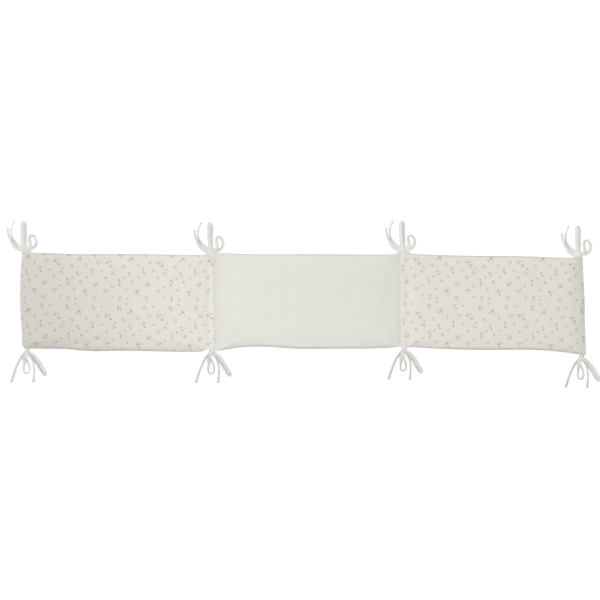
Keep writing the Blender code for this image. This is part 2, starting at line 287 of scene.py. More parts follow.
def pad_sheets(panel):
    """Face and back of a panel as grids of points over shares along and across. The outline is the
    listed sides and ends with round corners. The face rises from the seam by the product of four
    quarter ellipses, one from each edge and each to twice its roll's power, and by the crown; the
    back sinks to the table by the same product. A strip's end dips by TUCK along a smooth ramp."""
    along, across = np.meshgrid(crowded(COLUMNS), crowded(ROWS))
    start = panel.left[len(panel.left) // 2].x
    end = panel.right[len(panel.right) // 2].x
    rough_x = start + along * (end - start)
    bottom = through(panel.sides, "bottom", rough_x)
    top = through(panel.sides, "top", rough_x)
    y = bottom + across * (top - bottom)
    below, above = y - bottom, top - y
    corners = panel.corners
    left = through(panel.left, "x", y)
    left += corner_inset(below, corners.bottom_left) + corner_inset(above, corners.top_left)
    right = through(panel.right, "x", y)
    right -= corner_inset(below, corners.bottom_right) + corner_inset(above, corners.top_right)
    x = left + along * (right - left)
    lip = SEAM_HALF * quarter(np.minimum.reduce([x - left, right - x, below, above]), SEAM_ROUND)
    flare = panel.flare * np.exp(-(below / FLARE_REACH) ** 2)
    tucks = [panel.tucked == "left", panel.tucked == "right"]
    from_ends = [x - left, right - x]
    inwards = [
        far - margin - flare * tuck for far, margin, tuck in zip(from_ends, panel.margins, tucks)
    ]
    inwards += [below, above]
    shares = [quarter(far, roll.reach) ** (2 * roll.power) for far, roll in zip(inwards, panel.rolls)]
    fill = np.prod(shares, axis=0)
    crown = CROWN * (1 - (2 * along - 1) ** CROWN_ALONG) * (1 - (2 * across - 1) ** CROWN_ACROSS) * fill
    dips = [tuck * (1 - ramp(far / TUCK_RAMP)) for far, tuck in zip(from_ends, tucks)]
    seam = SEAM_HEIGHT - TUCK * sum(dips)
    face = seam + lip + (RIM_HEIGHT - SWELL_ROOM - SEAM_HEIGHT - SEAM_HALF) * fill + crown
    back = seam - lip - (SEAM_HEIGHT - SEAM_HALF) * fill
    strip = sum(tuck * (far < 0) for far, tuck in zip(inwards, tucks))
    return np.stack([x, y, face], -1), np.stack([x, y, back], -1), fill, strip


def patches(index):
    """The four corners of every cell of a grid of point numbers, anticlockwise seen from its face."""
    cells = [index[:-1, :-1], index[:-1, 1:], index[1:, 1:], index[1:, :-1]]
    return np.stack(cells, -1).reshape(-1, 4)


def cloth_lengths(sheet):
    """A sheet's own coordinates in millimetres: lengths along its rows and its columns, both
    counted from its middle, so that a print lies nearly undistorted on it, its sides too."""
    along = np.linalg.norm(np.diff(sheet, axis=1), axis=-1).cumsum(axis=1)
    across = np.linalg.norm(np.diff(sheet, axis=0), axis=-1).cumsum(axis=0)
    along = np.pad(along, ((0, 0), (1, 0)))
    across = np.pad(across, ((1, 0), (0, 0)))
    rows, columns = sheet.shape[:2]
    middle = sheet[rows // 2, columns // 2]
    along += middle[0] - along[:, columns // 2, None]
    across += middle[1] - across[None, rows // 2]
    return np.stack([along, across], -1).reshape(-1, 2)


def skin(name, points, faces, cloth, material):
    """A mesh object from arrays: points in millimetres, four-sided faces, and cloth coordinates for
    each corner of each face, kept in metres as the UV map named cloth."""
    mesh = bpy.data.meshes.new(name)
    mesh.from_pydata(points * MM, [], faces.tolist())
    mesh.uv_layers.new(name="cloth").data.foreach_set("uv", (cloth * MM).astype(np.float32).ravel())
    mesh.materials.append(material)
    mesh.shade_smooth()
    mesh.update()
    return link(bpy.data.objects.new(name, mesh))


def swell(pads, pinned):
    """Lets the filling push the sheets out as cloth. The seam and the strips stay where they are, and
    a point moves SWELL_LIMIT times the hyperbolic tangent of its free move over SWELL_LIMIT."""
    for pad in pads:
        seam = pad.vertex_groups.new(name="seam")
        seam.add(pinned[pad.name].tolist(), 1.0, "REPLACE")
        cloth = pad.modifiers.new("filling", "CLOTH")
        cloth.collision_settings.use_collision = False
        settings = cloth.settings
        settings.mass = CLOTH_MASS
        settings.tension_stiffness = settings.compression_stiffness = STIFFNESS
        settings.shear_stiffness = SHEAR
        settings.bending_stiffness = BENDING
        settings.use_pressure = True
        settings.uniform_pressure_force = PRESSURE
        settings.shrink_min = SPARE_CLOTH
        settings.vertex_group_mass = "seam"
        settings.effector_weights.gravity = 0
    for moment in range(1, LAST_FRAME + 1):
        scene.frame_set(moment)
    graph = bpy.context.evaluated_depsgraph_get()
    for pad in pads:
        before, after = np.empty((2, len(pad.data.vertices), 3), np.float32)
        pad.data.vertices.foreach_get("co", before.ravel())
        pad.evaluated_get(graph).data.vertices.foreach_get("co", after.ravel())
        move = after - before
        far = np.linalg.norm(move, axis=1, keepdims=True) / (SWELL_LIMIT * MM)
        far = np.maximum(far, LEAST_MOVE)
        after = before + move * np.tanh(far) / far
        pad.data.vertices.foreach_set("co", after.ravel())
        pad.modifiers.remove(pad.modifiers["filling"])
        pad.vertex_groups.clear()
    scene.frame_set(1)


def crease_depth(points):
    """How far the creases draw the face in: each is a bell along its length times a bell across it."""
    depth = np.zeros(len(points))
    for crease in CREASES:
        turn = math.radians(crease.turn)
        dx, dy = points[:, 0] - crease.x, points[:, 1] - crease.y
        along = dx * math.cos(turn) + dy * math.sin(turn)
        across = dy * math.cos(turn) - dx * math.sin(turn)
        depth += crease.depth * np.exp(-(along / crease.length) ** 2 - (across / crease.width) ** 2)
    return depth


# The cotton: its colours, its threads and the small print.
PRINT_GROUND = (0.800, 0.778, 0.714, 1)
# The strips are lighter than the print's ground partly as two layers of cloth with no filling, and
# partly as painted light: a painted highlight for the light their raised folds catch, which also lifts
# the shade that the pads beside them cast on them.
STRIP_GROUND_AND_HIGHLIGHT = (0.870, 0.850, 0.785, 1)
PLAIN_GROUND = (0.780, 0.779, 0.722, 1)
COTTON_ROUGHNESS = 0.92
COTTON_SPECULAR = 0.25
COTTON_SHEEN = 0.06
SHEEN_ROUGHNESS = 0.6
THREADS = 1300.0  # in a metre of cloth
THREAD_RELIEF = 0.00012
BUMP_STRENGTH = 0.5
SLUB_RELIEF = 1.5  # of the thicker threads, as a share of the weave's
SLUB_SCALE = 60.0
SLUB_DETAIL = 3.0
SLUB_STRETCH = 14.0
SLUB_SHADE = 0.5
MOTTLE_SCALE = 22.0
MOTTLE_DETAIL = 4.0
NOISE_RANGE = (0.6, 1.4)  # of the slubs' and the mottle's noises together
UNEVENNESS = 0.022  # how much lighter or darker the cloth gets from place to place

# The print repeats on a tile. A mark is a round or long spot, or a flower of petals; a motif is a
# few marks; the chart says where each motif stands on the tile, and how it is turned.
TILE = (164.0, 171.0)
RUST = (0.255, 0.162, 0.128, 1)
BROWN = (0.17, 0.115, 0.075, 1)
PEACH = (0.80, 0.59, 0.49, 1)
ROSE = (0.72, 0.51, 0.465, 1)
OLIVE = (0.24, 0.225, 0.15, 1)
GREY = (0.32, 0.31, 0.27, 1)
TAN = (0.47, 0.37, 0.25, 1)
Mark = namedtuple("Mark", "x y length width turn ink strength petals", defaults=(0,))
MOTIFS = {
    "open_flower": [
        Mark(0, 0, 20, 20, 0, PEACH, 0.45, 5), Mark(0, 0, 6.4, 5.8, 0, RUST, 0.6),
        Mark(-7, -8, 8, 4.4, 42, OLIVE, 0.5), Mark(7, -8, 5.0, 4.0, 0, GREY, 0.45),
    ],
    "twin_flowers": [
        Mark(-5, 7, 17, 17, 20, PEACH, 0.45, 5), Mark(-5, 7, 5.6, 5.0, 0, BROWN, 0.52),
        Mark(6, -7, 16, 16, 50, ROSE, 0.43, 5), Mark(6, -7, 5.4, 5.0, 0, RUST, 0.5),
        Mark(6, 8, 10, 5.4, -28, GREY, 0.38), Mark(-1, 0, 13, 1.6, 125, OLIVE, 0.35),
    ],
    "budding_stem": [
        Mark(0, 0, 16, 1.6, 90, OLIVE, 0.4), Mark(0, 8, 6.4, 5.2, 90, RUST, 0.5),
        Mark(-4.2, 1, 8.5, 6.0, 35, ROSE, 0.5), Mark(0.5, -7, 5.6, 4.6, 0, BROWN, 0.62),
    ],
    "berries": [
        Mark(0, 5, 4.8, 4.6, 0, RUST, 0.6), Mark(-4.5, -1, 4.8, 4.4, 0, RUST, 0.5),
        Mark(3.8, -5, 5.2, 4.8, 0, RUST, 0.6), Mark(3, 1, 8, 6, 60, ROSE, 0.3),
    ],
    "sprig": [
        Mark(-3, 4.5, 7.4, 5.2, 60, BROWN, 0.48), Mark(-4, -2, 6.0, 4.8, 100, BROWN, 0.42),
        Mark(2, -5.5, 6.6, 5.0, 0, OLIVE, 0.5), Mark(4.5, 3, 6, 5, 0, GREY, 0.36),
    ],
    "twig": [
        Mark(0, 5, 7.6, 6.4, 0, OLIVE, 0.42), Mark(1, -5, 7.8, 6.4, 0, GREY, 0.42),
        Mark(0, 0, 9, 2, 86, GREY, 0.3),
    ],
    "peach_bud": [Mark(0, 0, 14, 11, 25, PEACH, 0.5), Mark(0, 2, 5.4, 4.8, 0, TAN, 0.7)],
    "rose_bud": [Mark(0, 0, 13, 10, -70, ROSE, 0.42), Mark(-1, 3, 5.2, 4.4, 0, BROWN, 0.5)],
    "leaf_pair": [Mark(0, 3.6, 14, 6.4, 4, GREY, 0.30), Mark(1, -3.6, 12, 5.6, -6, TAN, 0.34)],
    "leaf": [Mark(0, 0, 13, 7.4, 0, GREY, 0.32)],
    "seed": [Mark(0, 0, 8.6, 7.0, 0, GREY, 0.36)],
}
Place = namedtuple("Place", "motif x y turn")
CHART = [
    Place("twin_flowers", 24, 121, 12), Place("open_flower", 97, 140, -15),
    Place("budding_stem", 137, 97, 6), Place("budding_stem", 60, 62, 184),
    Place("open_flower", 115, 33, 68), Place("sprig", 60, 152, 10), Place("sprig", 150, 56, 110),
    Place("berries", 141, 153, 0), Place("berries", 18, 34, 80), Place("twig", 91, 88, 14),
    Place("twig", 62, 10, -10), Place("peach_bud", 18, 76, 80), Place("rose_bud", 102, 62, 30),
    Place("leaf_pair", 72, 112, 20), Place("leaf_pair", 156, 126, 80),
    Place("leaf_pair", 40, 90, 60), Place("leaf_pair", 146, 10, 10), Place("leaf", 118, 118, 120),
    Place("leaf", 82, 38, 40), Place("seed", 45, 104, 0), Place("seed", 121, 78, 40),
    Place("seed", 4, 156, 30), Place("seed", 86, 8, 0), Place("seed", 38, 14, 60),
    Place("seed", 84, 164, 80), Place("seed", 37, 48, 0), Place("seed", 3, 98, 20),
    Place("seed", 76, 76, 0),
]
INK_EDGE = (0.55, 1.35)  # a mark's ink fades between these shares of its radius
PETAL_CUT = 0.22  # how deep the cuts between petals are


def maths(tree, operation, *values):
    """The output of a Math node."""
    return node(tree, "Math", dict(enumerate(values)), operation=operation).outputs[0]


def multiplied(tree, vector, factors):
    """The output of a Vector Math node: each part of a vector times a factor of its own."""
    return node(tree, "VectorMath", {0: vector, 1: factors}, operation="MULTIPLY").outputs[0]


def mixed(tree, share, first, second):
    """The output of a Mix node: the first colour where the share is 0, the second where it is 1."""
    sockets = {"Factor": share, 6: first, 7: second}
    return node(tree, "Mix", sockets, data_type="RGBA").outputs[2]


def noise(tree, vector, scale, detail):
    """The output of a Noise Texture node, about half on average."""
    return node(tree, "TexNoise", {"Vector": vector, "Scale": scale, "Detail": detail}).outputs[0]


def placed(tree, coordinates, x, y, turn, size):
    """Coordinates seen from a place: moved there, turned back, and divided by a size along each way."""
    angle = math.radians(turn)
    scale = [1 / part for part in size]
    shift = (-(x * math.cos(angle) + y * math.sin(angle)), x * math.sin(angle) - y * math.cos(angle))
    turned = node(tree, "Mapping", {
        "Vector": coordinates, "Location": (*shift, 0), "Rotation": (0, 0, -angle),
    }).outputs[0]
    return multiplied(tree, turned, (*scale, 1))


def ink_share(tree, spot, mark):
    """How much ink a mark lays on a point: its strength inside INK_EDGE, none outside. The radius in
    a flower is first divided by 1 - PETAL_CUT + PETAL_CUT cos(petals x angle)."""
    radius = node(tree, "VectorMath", {0: spot}, operation="LENGTH").outputs["Value"]
    if mark.petals:
        parts = node(tree, "SeparateXYZ", {0: spot}).outputs
        angle = maths(tree, "ARCTAN2", parts[1], parts[0])
        swing = maths(tree, "COSINE", maths(tree, "MULTIPLY", angle, float(mark.petals)))
        reach = maths(tree, "MULTIPLY_ADD", swing, PETAL_CUT, 1 - PETAL_CUT)
        radius = maths(tree, "DIVIDE", radius, reach)
    return node(tree, "MapRange", {
        "Value": radius, "From Min": INK_EDGE[0], "From Max": INK_EDGE[1],
        "To Min": mark.strength, "To Max": 0.0,
    }, interpolation_type="SMOOTHSTEP").outputs[0]


def printed(tree, cloth, ground):
    """The ground colour with the whole chart printed on it, each motif repeated on every tile."""
    tiles = multiplied(tree, cloth, (1 / (TILE[0] * MM), 1 / (TILE[1] * MM), 0))
    colour = ground
    for place in CHART:
        middle = (0.5 - place.x / TILE[0], 0.5 - place.y / TILE[1], 0)
        moved = node(tree, "VectorMath", {0: tiles, 1: middle}, operation="ADD").outputs[0]
        cell = node(tree, "VectorMath", {0: moved}, operation="FRACTION").outputs[0]
        local = multiplied(tree, cell, (*TILE, 1))
        local = placed(tree, local, TILE[0] / 2, TILE[1] / 2, place.turn, (1, 1))
        for mark in MOTIFS[place.motif]:
            spot = placed(tree, local, mark.x, mark.y, mark.turn, (mark.length / 2, mark.width / 2))
            colour = mixed(tree, ink_share(tree, spot, mark), colour, mark.ink)
    return colour


def cotton(name, ground, chart=False, threads=THREADS):
    """Woven cotton. The weave is the product of one sine across the threads each way; thicker
    threads are noise drawn out along X and along Y; the colour drifts with them and a broad noise."""
    material, shader = new_material(name)
    tree = material.node_tree
    cloth = node(tree, "UVMap", uv_map="cloth").outputs[0]
    parts = node(tree, "SeparateXYZ", {0: cloth}).outputs
    turns = [maths(tree, "MULTIPLY", part, 2 * math.pi * threads) for part in parts[:2]]
    weave = maths(tree, "MULTIPLY", *[maths(tree, "SINE", turn) for turn in turns])
    stretches = ((1, SLUB_STRETCH, 1), (SLUB_STRETCH, 1, 1))
    drawn = [multiplied(tree, cloth, stretch) for stretch in stretches]
    slubs = maths(tree, "ADD", *[noise(tree, way, SLUB_SCALE, SLUB_DETAIL) for way in drawn])
    mottle = noise(tree, cloth, MOTTLE_SCALE, MOTTLE_DETAIL)
    drift = node(tree, "MapRange", {
        "Value": maths(tree, "ADD", maths(tree, "MULTIPLY", slubs, SLUB_SHADE), mottle),
        "From Min": NOISE_RANGE[0], "From Max": NOISE_RANGE[1],
        "To Min": 1 - UNEVENNESS, "To Max": 1 + UNEVENNESS,
    }).outputs[0]
    colour = ground[:3]
    if chart:
        # The strips take their lighter colour, which is partly a painted highlight.
        strip = node(tree, "Attribute", attribute_name="strip").outputs["Fac"]
        colour = printed(tree, cloth, mixed(tree, strip, ground, STRIP_GROUND_AND_HIGHLIGHT))
    shade = node(tree, "VectorMath", {0: colour, "Scale": drift}, operation="SCALE").outputs[0]
    tree.links.new(shade, shader.inputs["Base Color"])
    relief = maths(tree, "MULTIPLY_ADD", slubs, SLUB_RELIEF, weave)
    bump = node(tree, "Bump", {"Height": relief, "Strength": BUMP_STRENGTH, "Distance": THREAD_RELIEF})
    tree.links.new(bump.outputs[0], shader.inputs["Normal"])
    shader.inputs["Roughness"].default_value = COTTON_ROUGHNESS
    shader.inputs["Specular IOR Level"].default_value = COTTON_SPECULAR
    shader.inputs["Sheen Weight"].default_value = COTTON_SHEEN
    shader.inputs["Sheen Roughness"].default_value = SHEEN_ROUGHNESS
    return material


COTTONS = {
    "print_cotton": cotton("print_cotton", PRINT_GROUND, chart=True),
    "plain_cotton": cotton("plain_cotton", PLAIN_GROUND),
}
index = np.arange(ROWS * COLUMNS).reshape(ROWS, COLUMNS)
back_index = index.copy()
back_index[1:-1, 1:-1] = index.size + np.arange(index[1:-1, 1:-1].size).reshape(ROWS - 2, COLUMNS - 2)
pads, fills, pinned = [], {}, {}
for panel in PANELS:
    face, back, fill, strip = pad_sheets(panel)
    points = np.concatenate([face.reshape(-1, 3), back[1:-1, 1:-1].reshape(-1, 3)])
    faces = np.concatenate([patches(index), patches(back_index)[:, ::-1]])
    upper, lower = patches(index), patches(index)[:, ::-1]
    cloth = np.concatenate([cloth_lengths(face)[upper], cloth_lengths(back)[lower]])
    pads.append(skin(panel.name, points, faces, cloth, COTTONS[panel.slot]))
    strip = np.concatenate([strip.ravel(), strip[1:-1, 1:-1].ravel()]).astype(np.float32)
    # The strip mask also places the strips' painted highlight.
    pads[-1].data.attributes.new("strip", "FLOAT", "POINT").data.foreach_set("value", strip)
    fills[panel.name] = fill
    held = fill <= 0
    pinned[panel.name] = np.union1d(index[held], back_index[held])
swell(pads, pinned)
for panel, pad in zip(PANELS, pads):
    points = np.empty((len(pad.data.vertices), 3), np.float32)
    pad.data.vertices.foreach_get("co", points.ravel())
    drop = crease_depth(points[:index.size] / MM) * fills[panel.name].ravel() * MM
    points[:index.size, 2] -= drop
    points[:, 2] = np.maximum(points[:, 2], 0)
    pad.data.vertices.foreach_set("co", points.ravel())
    finer = pad.modifiers.new("finer", "SUBSURF")
    finer.levels = finer.render_levels = 1
    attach(pad, "root")
    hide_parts(panel.node)


# ---- The ties ------------------------------------------------------------------------------------
# Eight ties of cotton tape, folded lengthwise and stitched along both edges. Each is sewn into the
# seam by its middle, and its two ends are tied in a bow: a knot with a turn of tape round it, two
# loops and two free tails. The upper four share one shape, and so do the lower four.
TAPE_WIDTH = 11.0
WRAP_WIDTH = 10.0  # of the tape where it is pulled tight round the knot
SEWN_WIDTH = 9.0  # of the tape where it is gathered into the seam
TAPE_THICKNESS = 2.3
TAPE_SHARES = np.sin(np.linspace(-0.5, 0.5, 9) * math.pi)  # places across each side of the tape
PATH_STEPS = 9  # between two rows of a run
HANDLE = 2.5614  # a gap between rows, divided by the length of the curve's handle there
EDGE_THIN = 0.5  # how thin the tape's edge is, as a share of its middle
EDGE_POWER = 6  # how late the tape thins towards its edge
STITCH_INSET = 1.5
STITCH_SINK = 0.16  # how deep the stitches draw the tape in
GROOVE_WIDTH = 0.6
PINCH = 0.9  # width of the tape where it goes into the knot, as a share
PINCH_REACH = 24.0
PINCH_THICKER = 1.5
PINCH_CUP = 1.2  # how far the pinched tape's middle stands off the line of its edges
LOOSE_CUP = 0.5
HEM = 7.0  # length of the turned-up end of a tail
HEM_START = 1.2  # length over which it reaches its full thickness
HEM_WIDER = 1.03
HEM_THICKER = 1.35
KNOT_RADII = (9.0, 5.2, 5.2)
KNOT_REACH = 0.97  # share of its length at which it is closed off, inside the tapes
KNOT_ROWS = 15
KNOT_POINTS = 28
KNOT_PLEATS = 7
KNOT_PLEAT_DEPTH = 0.07
WRAP_RADIUS = 4.9
WRAP_GAIN = 0.7
WRAP_TURNS = 1.12  # how often it goes round
WRAP_ROWS = 7
KNOT_STANDOFF = 7.0  # from the panel's edge to the middle of the knot
FLAT = 90

# Each run of tape as rows from the knot: x, y and height of its middle, and its turn, which is 0
# where the tape stands on its edge and FLAT where it lies flat.
Run = namedtuple("Run", "x y height turn")
TOP_BOW = {
    "outer_tail": [
        Run(-2, 1, 12, 75), Run(-18, 3.4, 10, 70), Run(-31, 10.5, 7.5, 62), Run(-41, 24, 5.8, 56),
        Run(-48, 40, 5.3, 50), Run(-52.5, 54, 5.3, 45), Run(-53.7, 71, 5.3, 42),
    ],
    "inner_tail": [
        Run(-1, 3, 13, 80), Run(-16, 12, 10, 82), Run(-30, 25, 7, 75), Run(-39, 39, 5.6, 35),
        Run(-42, 53, 5.3, 20), Run(-42, 67, 5.3, 20), Run(-38.5, 80, 5.3, 20), Run(-32, 93.5, 5.3, 35),
    ],
    "big_loop": [
        Run(-1, 3, 13, FLAT), Run(0.3, 30, 5, FLAT), Run(0.9, 58, 2.2, FLAT), Run(1.0, 80, 2.3, 92),
        Run(-0.8, 87, 3.8, 116), Run(-4.2, 89.5, 6.8, 141), Run(-7.0, 87, 9.4, 168),
        Run(-7.9, 80, 10.2, 186), Run(-8.1, 62, 10.0, 192), Run(-7.6, 42, 9.4, 194),
        Run(-5.0, 18, 11, 196), Run(-2.0, 3, 14, 196),
    ],
    "small_loop": [
        Run(4, 1, 12, 60), Run(18, 4, 10, 52), Run(29, 8.5, 6.5, 45), Run(35.4, 17, 5.0, 42),
        Run(37.2, 28, 4.8, 42), Run(34.0, 39.5, 4.8, 42), Run(26, 47.5, 4.8, 40),
        Run(17.5, 44.5, 5.0, 40), Run(15.5, 35, 5.6, 50), Run(18, 24, 7, 58), Run(18.0, 14, 11, 62),
        Run(4, 3, 15, 66),
    ],
}
BOTTOM_BOW = {
    "outer_tail": [
        Run(-3, -2, 12, 60), Run(-11, -9, 10, 46), Run(-20, -20, 7, 38), Run(-29, -36, 5.9, 36),
        Run(-36.8, -53, 5.6, 38), Run(-42.8, -70, 5.5, 42), Run(-48.8, -89, 5.0, 45),
        Run(-53, -102, 4.6, 50),
    ],
    "small_loop": [
        Run(-3, -3, 12, 70), Run(-8.5, -15, 9, 75), Run(-10.5, -29, 6.5, 75), Run(-10.8, -44, 5.6, 45),
        Run(-13, -58, 5.3, 25), Run(-9.5, -70, 5.3, 20), Run(-2, -73, 5.3, 20), Run(6, -66, 5.3, 20),
        Run(7, -54, 5.3, 22), Run(2.5, -38, 8, 30), Run(-5.5, -22, 14, 55), Run(-2, -4, 15, 70),
    ],
    "inner_tail": [
        Run(2, -3, 12, 60), Run(9.5, -14, 9, 45), Run(16, -28, 6.5, 30), Run(20.5, -45, 5.4, 25),
        Run(22, -64, 5.3, 25), Run(21, -81, 5.2, 32), Run(19.5, -103, 4.0, 60),
    ],
    "big_loop": [
        Run(4, -3, 13, 88), Run(15, -14, 8, 91), Run(26, -30.5, 3.6, 92), Run(36.5, -48, 2.2, 94),
        Run(47, -65, 2.2, 94), Run(53, -74, 3.2, 95), Run(57.5, -77, 6.4, 136),
        Run(58.5, -72, 9.6, 178), Run(51.5, -59, 10.4, 180), Run(42.5, -43.5, 9, 182),
        Run(31, -27, 10, 182), Run(17, -13, 13, 184), Run(4, -4, 15, 186),
    ],
}
# The two sewn-in ends, from the knot into the seam: spread along the edge on an upper tie, side by
# side on a lower one. At the upper left join a spare end of the tape lies along the strip.
TOP_ENDS = [
    [
        Run(-1, -0.5, 12.2, FLAT), Run(-8, -2.4, 12.5, FLAT), Run(-15, -5.8, 12.3, FLAT),
        Run(-19.5, -11.5, 12.0, FLAT),
    ],
    [
        Run(1, -0.5, 12.2, FLAT), Run(8, -2.4, 12.5, FLAT), Run(15, -5.8, 12.3, FLAT),
        Run(19.5, -11.5, 12.0, FLAT),
    ],
]
BOTTOM_ENDS = [
    [Run(-2.2, 0, 12.4, FLAT), Run(-3.0, 4.5, 12.6, FLAT), Run(-4.0, 8.0, 12.4, FLAT)],
    [Run(2.2, 0, 12.4, FLAT), Run(2.8, 4.5, 12.6, FLAT), Run(3.6, 8.0, 12.4, FLAT)],
]
SPARE_END = [
    Run(0, 0, 12.4, FLAT), Run(-0.4, -7, 14.6, FLAT), Run(-1.2, -15, 15.2, FLAT),
    Run(-1.4, -26, 15.0, FLAT), Run(-0.6, -37, 14.6, FLAT),
]
# Each tie's place along X, the size of its bow, how far its two sewn-in ends are spread, which is
# less on the side where the panel ends, and its painted light: a factor on its tape's colour, higher
# at the ends than in the middle, that evens out how brightly the lamps light each tie.
Tie = namedtuple("Tie", "x size left right tone")
TieRow = namedtuple("TieRow", "side outward bow ends ties spare")
TIE_ROWS = [
    TieRow("top", 1, TOP_BOW, TOP_ENDS, [
        Tie(-898.0, 1.0, 0.25, 1.1, 1.13), Tie(-304.0, 1.0, 1.0, 1.0, 0.98),
        Tie(306.5, 1.0, 1.0, 1.0, 1.04), Tie(866.0, 1.0, 1.0, 0.4, 1.07),
    ], spare={2}),
    TieRow("bottom", -1, BOTTOM_BOW, BOTTOM_ENDS, [
        Tie(-889.0, 0.975, 1.0, 1.0, 1.17), Tie(-302.0, 0.98, 1.0, 1.0, 0.95),
        Tie(309.0, 0.94, 1.0, 1.0, 0.97), Tie(873.0, 0.95, 1.0, 1.0, 1.03),
    ], spare=set()),
]
TAPE_GROUND = (0.80, 0.803, 0.775, 1)
TAPE_THREADS = 1500.0
THREAD_DARK = (0.60, 0.60, 0.565, 1)
STITCH_LENGTH = 2.6
STITCH_SHARE = 0.68  # of a stitch's length that shows
STITCH_HALF = 0.28


def path_of(rows):
    """Points and turns along a run: cubic curves whose handles at a row lie along the sum of the
    unit vectors to and from its neighbours, and are as long as the gap there over HANDLE. The turn
    goes evenly from row to row."""
    numbers = np.array(rows, float)
    places, turns = numbers[:, :3], np.radians(numbers[:, 3])
    reached = np.vstack([2 * places[0] - places[1], places, 2 * places[-1] - places[-2]])
    gaps = np.diff(reached, axis=0)
    lengths = np.linalg.norm(gaps, axis=1, keepdims=True)
    lean = gaps[:-1] / lengths[:-1] + gaps[1:] / lengths[1:]
    lean /= np.linalg.norm(lean, axis=1, keepdims=True) * HANDLE
    before, after = places - lean * lengths[:-1], places + lean * lengths[1:]
    t = np.linspace(0, 1, PATH_STEPS, endpoint=False)[None, :, None]
    curve = (1 - t) ** 3 * places[:-1, None] + 3 * t * (1 - t) ** 2 * after[:-1, None]
    curve = curve + 3 * t * t * (1 - t) * before[1:, None] + t ** 3 * places[1:, None]
    at = np.append((np.arange(len(places) - 1)[:, None] + t[..., 0]).ravel(), len(places) - 1)
    return np.vstack([curve.reshape(-1, 3), places[-1:]]), np.interp(at, np.arange(len(places)), turns)


def carried(line):
    """Directions along a path, and an upward one carried with it: at each step it loses its part
    along the path, so it turns with the path and doesn't twist about it."""
    ahead = np.gradient(line, axis=0)
    ahead /= np.linalg.norm(ahead, axis=1, keepdims=True)
    up, ups = np.array([0.0, 0.0, 1.0]), []
    for step in ahead:
        up = up - step * (up @ step)
        up = up / np.linalg.norm(up)
        ups.append(up)
    return ahead, np.array(ups)


def tape_rings(rows, pinch=(True, False), hem=False, width=TAPE_WIDTH):
    """A run of tape as rings of points: a flat section with thin edges and a stitched groove near
    each, cupped and narrowed where the knot pinches it, and widened and thickened at a hemmed end."""
    line, turn = path_of(rows)
    ahead, up = carried(line)
    side = np.cross(ahead, up)
    wide = np.cos(turn)[:, None] * up + np.sin(turn)[:, None] * side
    out = np.cross(wide, ahead)
    length = np.append(0, np.linalg.norm(np.diff(line, axis=0), axis=1).cumsum())
    near = np.full(len(line), PINCH_REACH)
    if pinch[0]:
        near = np.minimum(near, length)
    if pinch[1]:
        near = np.minimum(near, length[-1] - length)
    free = ramp(near / PINCH_REACH)
    broad = width / 2 * (PINCH + (1 - PINCH) * free)
    thick = TAPE_THICKNESS / 2 * (PINCH_THICKER + (1 - PINCH_THICKER) * free)
    if hem:
        hemmed = np.clip((HEM - (length[-1] - length)) / HEM_START, 0, 1)
        broad = broad * (1 + (HEM_WIDER - 1) * hemmed)
        thick = thick * (1 + (HEM_THICKER - 1) * hemmed)
    share = TAPE_SHARES
    inset = width / 2 * (1 - np.abs(share))
    rise = EDGE_THIN + (1 - EDGE_THIN) * np.sqrt(1 - np.abs(share) ** EDGE_POWER)
    rise = rise - STITCH_SINK * np.exp(-((inset - STITCH_INSET) / GROOVE_WIDTH) ** 2)
    cup = (PINCH_CUP + (LOOSE_CUP - PINCH_CUP) * free)[:, None] * (1 - share ** 2)
    across = broad[:, None] * share
    upper, lower = cup + thick[:, None] * rise, cup - thick[:, None] * rise
    across = np.concatenate([across, across[:, ::-1]], axis=1)
    off = np.concatenate([upper, lower[:, ::-1]], axis=1)
    return line[:, None] + across[..., None] * wide[:, None] + off[..., None] * out[:, None]


def tube(rings, round_it):
    """A closed surface over rings of points, each ring closed on itself and each end closed by a
    ladder of patches across it. Its cloth coordinates are the length along the rings' middles and,
    round a ring, the given lengths. Faces are turned outwards, where the volume comes out above 0."""
    count, around = rings.shape[:2]
    number = np.arange(count * around).reshape(count, around)
    looped = np.concatenate([number, number[:, :1]], axis=1)
    rungs = np.arange(around // 2 - 1)
    ladder = np.stack([rungs, rungs + 1, around - 2 - rungs, around - 1 - rungs], -1)
    faces = np.concatenate([patches(looped), ladder[:, ::-1], ladder + number[-1, 0]])
    along = np.append(0, np.linalg.norm(np.diff(rings.mean(axis=1), axis=0), axis=1).cumsum())
    closed = np.append(round_it, round_it[0])
    grid = np.stack(np.broadcast_arrays(along[:, None], closed), -1).reshape(-1, 2)
    spread = np.arange(count * (around + 1)).reshape(count, around + 1)
    cloth = np.concatenate([grid[patches(spread)], grid[ladder[:, ::-1]], grid[ladder + spread[-1, 0]]])
    points = rings.reshape(-1, 3)
    first, second, third, fourth = (points[faces[:, corner]] for corner in range(4))
    volume = (first * (np.cross(second, third) + np.cross(third, fourth))).sum()
    if volume < 0:
        faces, cloth = faces[:, ::-1], cloth[:, ::-1]
    return points, faces, cloth


def joined(surfaces):
    """Several closed surfaces as the arrays of one mesh."""
    points = np.concatenate([surface[0] for surface in surfaces])
    starts = np.cumsum([0] + [len(surface[0]) for surface in surfaces[:-1]])
    faces = np.concatenate([surface[1] + start for surface, start in zip(surfaces, starts)])
    return points, faces, np.concatenate([surface[2] for surface in surfaces])


def knot_rings():
    """The gathered middle of the knot: an ellipsoid along X whose radius swings a little round it."""
    along = np.linspace(-KNOT_REACH, KNOT_REACH, KNOT_ROWS)[:, None]
    angle = np.linspace(0, 2 * np.pi, KNOT_POINTS, endpoint=False)[None]
    radius = np.sqrt(1 - along ** 2) * (1 + KNOT_PLEAT_DEPTH * np.cos(KNOT_PLEATS * angle + 2 * along))
    y = KNOT_RADII[1] * radius * np.cos(angle)
    z = SEAM_HEIGHT + KNOT_RADII[2] * radius * np.sin(angle)
    return np.stack(np.broadcast_arrays(KNOT_RADII[0] * along, y, z), -1)


